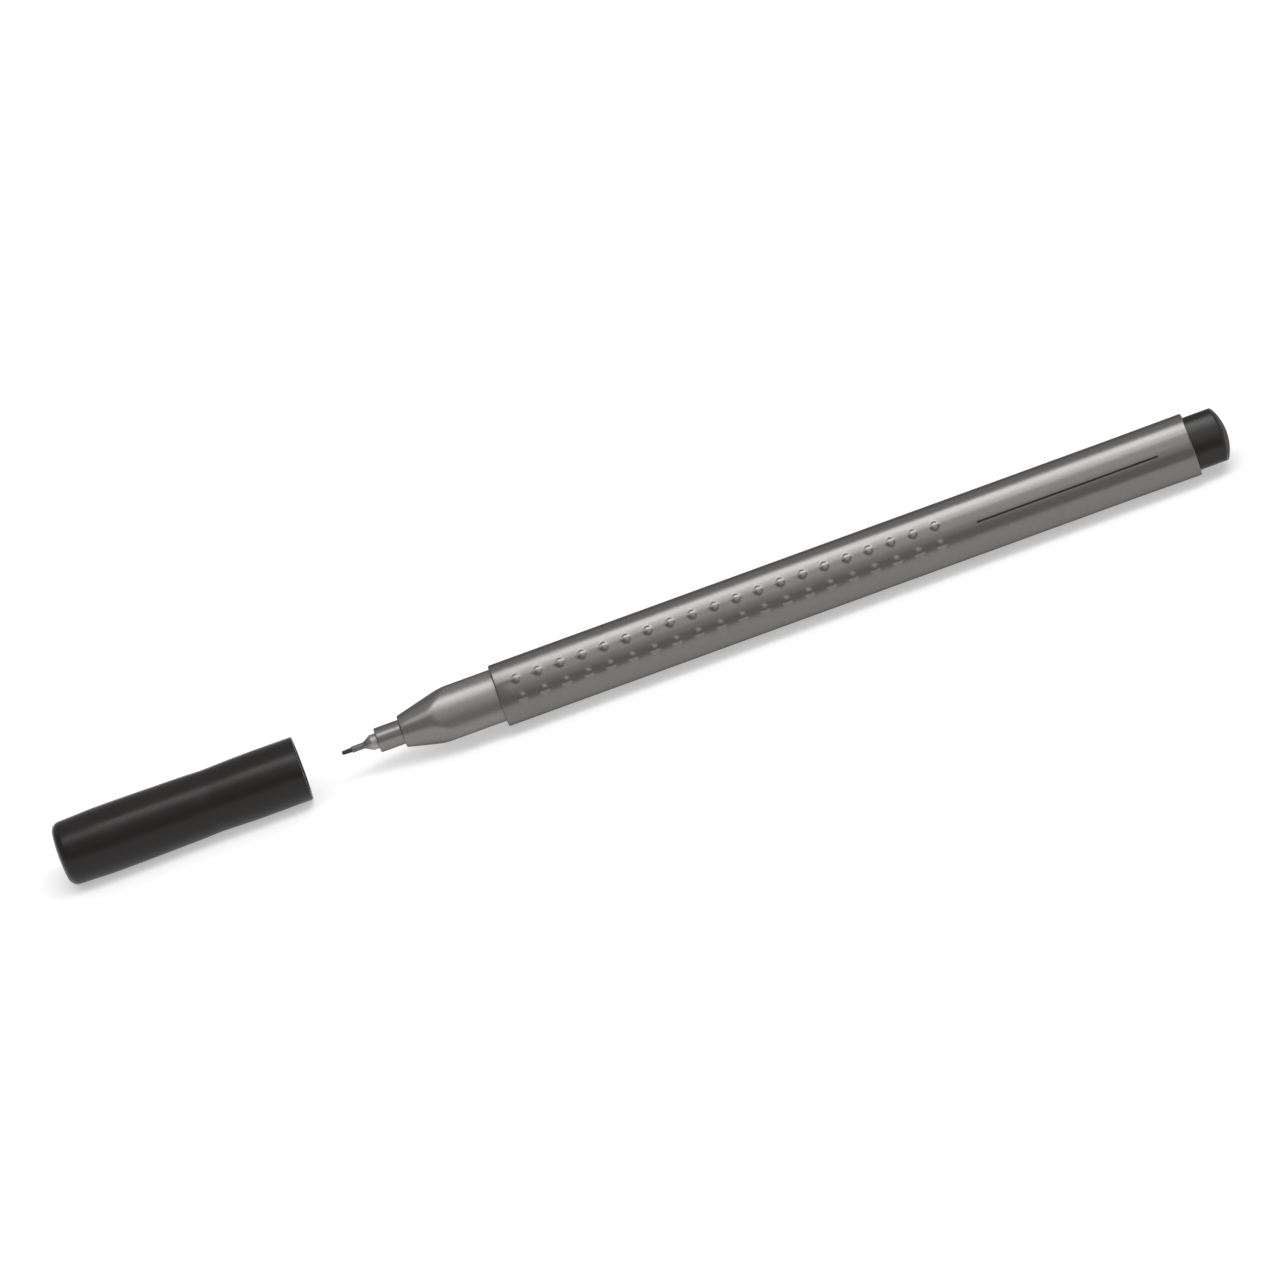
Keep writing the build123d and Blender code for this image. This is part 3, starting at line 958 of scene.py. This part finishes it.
class FINELINER_OT_stage(Operator):
    """Set the floor, the light and the camera"""

    bl_idname = "fineliner.stage"
    bl_label = "Stage"

    def execute(self, context):
        settings = context.scene.fineliner
        self.lay_floor(settings)
        self.set_light(context.scene, settings.stage)
        self.set_camera(context.scene, settings.stage)
        context.scene.view_settings.view_transform = "Standard"
        return {"FINISHED"}

    def lay_floor(self, settings):
        """A flat disc in rings: each point is a radius along an angle."""
        x, y = lathed(FLOOR_RINGS, full_turn(FLOOR_STEPS))
        flat = np.stack([x, y, np.zeros_like(x)], axis=-1)
        points = np.concatenate([[[0, 0, 0]], flat.reshape(-1, 3)])
        column = np.arange(FLOOR_STEPS)
        beside = (column + 1) % FLOOR_STEPS
        row = np.arange(len(FLOOR_RINGS) - 1)[:, None] * FLOOR_STEPS + 1
        outer = row + FLOOR_STEPS
        quads = np.stack([row + column, outer + column, outer + beside, row + beside], axis=-1)
        fan = np.column_stack([np.zeros_like(column), 1 + column, 1 + beside])
        mesh = bpy.data.meshes.new("table_top")
        mesh.from_pydata(points.tolist(), [], quads.reshape(-1, 4).tolist() + fan.tolist())
        mesh.materials.append(floor_finish(settings))
        floor = bpy.data.objects.new("table_top", mesh)
        bpy.context.scene.collection.objects.link(floor)

    def hang_lamp(self, scene, name, far, low, high, front, rear, radiance):
        """An area lamp turned towards the pen, from a lower to a higher elevation and from a front
        to a rear station. Its power is pi times its area times its radiance."""
        elevation = (low + high) / 2
        lamp = bpy.data.lights.new(name, "AREA")
        lamp.shape = "RECTANGLE"
        lamp.size, lamp.size_y = rear - front, 2 * far * math.tan((high - low) / 2)
        lamp.energy = math.pi * lamp.size * lamp.size_y * radiance
        away, side = Vector((0, -math.cos(elevation), math.sin(elevation))), Vector((1, 0, 0))
        place = Vector(((front + rear) / 2, 0.0, AXIS_HEIGHT)) + away * far
        holder = bpy.data.objects.new(name, lamp)
        holder.matrix_world = facing(place, side, away.cross(side), away)
        scene.collection.objects.link(holder)

    def set_light(self, scene, stage):
        """A softbox high in front of the pen, with a wider, dimmer spill round it and a dim light
        behind it, a front panel beside the pen's rear that is brighter above, and an even room."""
        low, top, near = stage.softbox_low, stage.softbox_top, stage.panel_distance
        box, spill = stage.softbox_distance, stage.spill_distance
        box_ends = stage.softbox_front, stage.softbox_rear
        spill_ends = stage.spill_front, stage.spill_rear
        panel_ends = stage.panel_front, stage.panel_rear
        lamps = [
            ("softbox", box, low, top, *box_ends, stage.softbox_light),
            ("softbox_spill", spill, stage.spill_low, top, *spill_ends, stage.spill_light),
            ("softbox_back", spill, top, stage.back_low, *spill_ends, stage.back_light),
            ("front_panel", near, stage.panel_low, low, *panel_ends, stage.panel_light),
            ("front_panel_top", near, stage.panel_rise, low, *panel_ends, stage.panel_more),
        ]
        for lamp in lamps:
            self.hang_lamp(scene, *lamp)
        world = bpy.data.worlds.new("room")
        world.use_nodes = True
        background = world.node_tree.nodes["Background"]
        background.inputs["Color"].default_value = (1, 1, 1, 1)
        background.inputs["Strength"].default_value = stage.room_light
        scene.world = world

    def set_camera(self, scene, stage):
        """A long lens that looks along +Y and down, rolled so that the pen rises to the right."""
        data = bpy.data.cameras.new("camera")
        data.sensor_width = 36
        data.lens = stage.lens
        forward = Vector((0, math.cos(stage.elevation), -math.sin(stage.elevation)))
        level_up = Vector((0, math.sin(stage.elevation), math.cos(stage.elevation)))
        level_right = Vector((1, 0, 0))
        right = level_right * math.cos(stage.tilt) - level_up * math.sin(stage.tilt)
        up = level_right * math.sin(stage.tilt) + level_up * math.cos(stage.tilt)
        aim = Vector((0, 0, AXIS_HEIGHT)) + level_up * stage.drop
        distance = stage.frame_width * data.lens / data.sensor_width
        camera = bpy.data.objects.new("camera", data)
        camera.matrix_world = facing(aim - forward * distance, right, up, -forward)
        scene.collection.objects.link(camera)
        scene.camera = camera


class FINELINER_PT_sidebar(Panel):
    """Lists the pieces and their sizes"""

    bl_idname = "FINELINER_PT_sidebar"
    bl_label = "Fineliner"
    bl_space_type = "VIEW_3D"
    bl_region_type = "UI"
    bl_category = "Fineliner"

    def draw(self, context):
        settings = context.scene.fineliner
        for operator in OPERATORS:
            self.layout.operator(operator.bl_idname)
        for group_name in settings.bl_rna.properties.keys():
            group = getattr(settings, group_name)
            if isinstance(group, PropertyGroup):
                box = self.layout.box()
                box.label(text=settings.bl_rna.properties[group_name].name)
                for size in group.__annotations__:
                    box.prop(group, size)


OPERATORS = (
    FINELINER_OT_stage,
    FINELINER_OT_barrel,
    FINELINER_OT_front_section,
    FINELINER_OT_nib,
    FINELINER_OT_rear_plug,
    FINELINER_OT_cap,
    FINELINER_OT_inside,
)
CLASSES = (
    FinelinerOutline,
    FinelinerBarrel,
    FinelinerSection,
    FinelinerNib,
    FinelinerPlug,
    FinelinerCap,
    FinelinerFinishes,
    FinelinerStage,
    FinelinerSettings,
    *OPERATORS,
    FINELINER_PT_sidebar,
)


def register():
    for cls in CLASSES:
        bpy.utils.register_class(cls)
    bpy.types.Scene.fineliner = PointerProperty(
        name="Fineliner", description="Settings of the fineliner", type=FinelinerSettings
    )


def unregister():
    del bpy.types.Scene.fineliner
    for cls in reversed(CLASSES):
        bpy.utils.unregister_class(cls)


def main():
    """Builds the pen in order."""
    register()
    bpy.ops.fineliner.stage()
    bpy.ops.fineliner.barrel()
    bpy.ops.fineliner.front_section()
    bpy.ops.fineliner.nib()
    bpy.ops.fineliner.rear_plug()
    bpy.ops.fineliner.cap()
    bpy.ops.fineliner.inside()


if __name__ == "__main__":
    main()
